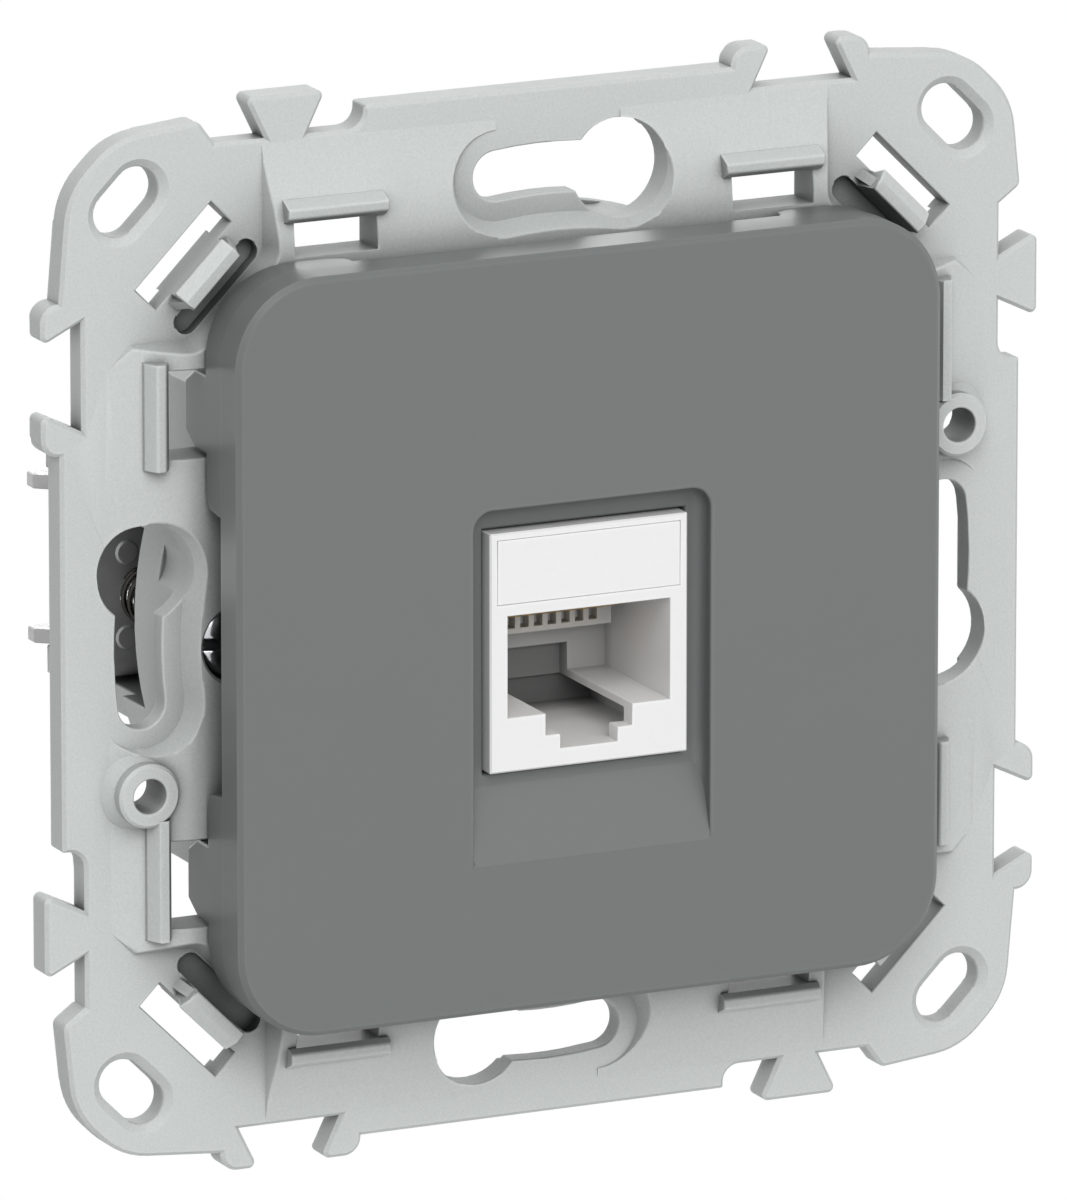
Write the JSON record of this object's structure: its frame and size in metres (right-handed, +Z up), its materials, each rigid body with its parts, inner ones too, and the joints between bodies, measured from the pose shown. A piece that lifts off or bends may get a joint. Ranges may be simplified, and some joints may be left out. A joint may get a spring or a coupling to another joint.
{
  "type": "telephone socket",
  "caption": "Flush telephone and data socket: square moulded support frame with dovetail edges, screw slots and spreading claws, clip-on centre plate and modular jack.",
  "frame": {"origin": "centre of the square support frame in the plane of the wall, which is the flat back of its rim", "axes": "+Z up the wall, +X to the right seen from the room, -Y out of the wall into the room, +Y into the wall box"},
  "size_m": [0.0736, 0.0347, 0.0736],
  "materials": {
    "frame_plastic": "fine matt texture",
    "cover_plastic": "soft matt",
    "jack_plastic": "satin",
    "label_plastic": "satin",
    "comb_plastic": "satin",
    "contact_metal": "gold plated",
    "board": "lacquered",
    "block_plastic": "satin",
    "terminal_metal": "tin plated",
    "cap_plastic": "satin",
    "holder_plastic": "matt",
    "claw_steel": "zinc plated",
    "screw_steel": "bright plated",
    "spring_steel": "dark oiled"
  },
  "bodies": {
    "frame": {"support_frame": "frame_plastic", "centre_plate": "cover_plastic", "jack_housing": "jack_plastic", "label_window": "label_plastic", "contact_comb": "comb_plastic", "contact_legs": "contact_metal", "jack_board": "board", "terminal_block": "block_plastic", "wire_cap": "cap_plastic", "module_holder": "holder_plastic", "wire_terminal_1": "terminal_metal", "wire_terminal_2": "terminal_metal", "wire_terminal_3": "terminal_metal", "wire_terminal_4": "terminal_metal", "wire_terminal_5": "terminal_metal", "wire_terminal_6": "terminal_metal", "wire_terminal_7": "terminal_metal", "wire_terminal_8": "terminal_metal"},
    "contacts": {"spring_contact_1": "contact_metal", "spring_contact_2": "contact_metal", "spring_contact_3": "contact_metal", "spring_contact_4": "contact_metal", "spring_contact_5": "contact_metal", "spring_contact_6": "contact_metal", "spring_contact_7": "contact_metal", "spring_contact_8": "contact_metal"},
    "left_screw": {"left_claw_screw": "screw_steel"},
    "left_spring": {"left_claw_spring": "spring_steel"},
    "left_claw": {"left_claw": "claw_steel"},
    "right_screw": {"right_claw_screw": "screw_steel"},
    "right_spring": {"right_claw_spring": "spring_steel"},
    "right_claw": {"right_claw": "claw_steel"}
  },
  "joints": [
    {"name": "contact_flex", "type": "hinge", "parent": "frame", "child": "contacts", "pos_m": [0, -0.00695, 0.0017], "axis": [1, 0, 0], "range_deg": [0, 8], "stiffness_Nm_per_rad": 0.05},
    {"name": "left_screw_spin", "type": "hinge", "parent": "frame", "child": "left_screw", "pos_m": [-0.0232, 0, 0], "axis": [0, 1, 0], "range_deg": [0, 2160]},
    {"name": "left_claw_travel", "type": "slide", "parent": "frame", "child": "left_spring", "axis": [0, -1, 0], "range_m": [0, 0.0045], "deforming": ["left_claw_spring"]},
    {"name": "left_claw_spread", "type": "hinge", "parent": "left_spring", "child": "left_claw", "pos_m": [-0.0232, 0.01255, 0], "axis": [0, 0, 1], "range_deg": [0, 20]},
    {"name": "right_screw_spin", "type": "hinge", "parent": "frame", "child": "right_screw", "pos_m": [0.0232, 0, 0], "axis": [0, 1, 0], "range_deg": [0, 2160]},
    {"name": "right_claw_travel", "type": "slide", "parent": "frame", "child": "right_spring", "axis": [0, -1, 0], "range_m": [0, 0.0045], "deforming": ["right_claw_spring"]},
    {"name": "right_claw_spread", "type": "hinge", "parent": "right_spring", "child": "right_claw", "pos_m": [0.0232, 0.01255, 0], "axis": [0, 0, -1], "range_deg": [0, 20]}
  ],
  "couplings": [
    {"joint": "left_screw_spin", "follows": "left_claw_travel", "rad_per_m": 8377.6},
    {"joint": "left_claw_spread", "follows": "left_claw_travel", "rad_per_m": 77.57},
    {"joint": "right_screw_spin", "follows": "right_claw_travel", "rad_per_m": 8377.6},
    {"joint": "right_claw_spread", "follows": "right_claw_travel", "rad_per_m": 77.57}
  ]
}
